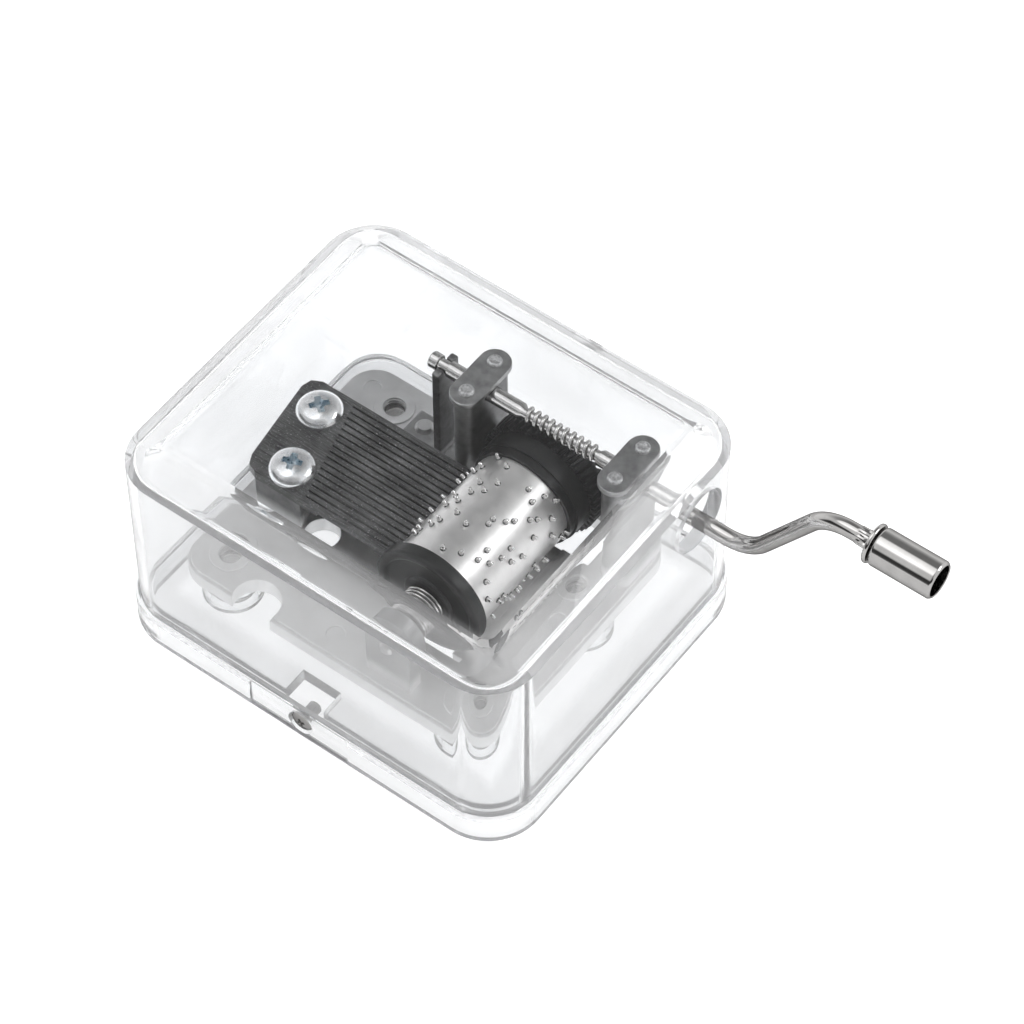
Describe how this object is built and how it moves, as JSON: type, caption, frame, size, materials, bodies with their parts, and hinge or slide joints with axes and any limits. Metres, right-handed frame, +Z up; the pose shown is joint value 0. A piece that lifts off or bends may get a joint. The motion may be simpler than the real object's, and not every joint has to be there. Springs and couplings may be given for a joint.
{
  "type": "hand crank music box",
  "caption": "Clear rectangular hand-crank music box: a comb, pinned drum and worm drive on a cast plate, turned by a bent wire crank with a loose metal thimble handle",
  "frame": {"origin": "centre of the base tray's underside, on the plane it stands on", "axes": "+X along the crank shaft towards the handle, +Y along the drum from the spring end to the worm wheel, +Z up"},
  "size_m": [0.0938, 0.0524, 0.0429],
  "materials": {
    "clear_case": "clear polished polystyrene",
    "zinc_casting": "die cast, satin",
    "comb_steel": "blackened, finely ground",
    "dark_steel": "dark zinc plated",
    "lead_weight": "dull lead",
    "blue_zinc": "bright zinc plated",
    "nickel": "nickel plated, bright",
    "drum_nickel": "nickel plated, satin",
    "pin_steel": "bright",
    "black_plastic": "moulded acetal"
  },
  "bodies": {
    "case": {"upper_case": "clear_case", "base_tray": "clear_case", "side_screws": "nickel", "movement_screws": "nickel", "bedplate": "zinc_casting", "comb": "comb_steel", "comb_weights": "lead_weight", "comb_screws": "blue_zinc", "bearing_caps": "dark_steel", "cap_rivets": "zinc_casting", "thrust_fork": "dark_steel", "fork_rivet": "zinc_casting"},
    "drum": {"drum_sleeve": "drum_nickel", "drum_pins": "pin_steel", "drum_end_cap": "black_plastic", "worm_wheel": "black_plastic", "drum_arbor": "nickel", "arbor_spring": "nickel"},
    "crank": {"crank_shaft": "nickel", "worm_thread": "nickel", "handle_washer": "nickel", "handle_rivet": "nickel"},
    "handle": {"handle": "nickel"}
  },
  "joints": [
    {"name": "drum_spin", "type": "hinge", "parent": "case", "child": "drum", "pos_m": [0.00695, 0.00095, 0.0159], "axis": [0, 1, 0], "continuous": true},
    {"name": "crank_spin", "type": "hinge", "parent": "case", "child": "crank", "pos_m": [0.008, 0.0148, 0.0252], "axis": [1, 0, 0], "continuous": true},
    {"name": "handle_spin", "type": "hinge", "parent": "crank", "child": "handle", "pos_m": [0.059, 0.0148, 0.0403], "axis": [1, 0, 0], "continuous": true}
  ],
  "couplings": [
    {"joint": "crank_spin", "follows": "drum_spin", "ratio": -48}
  ]
}
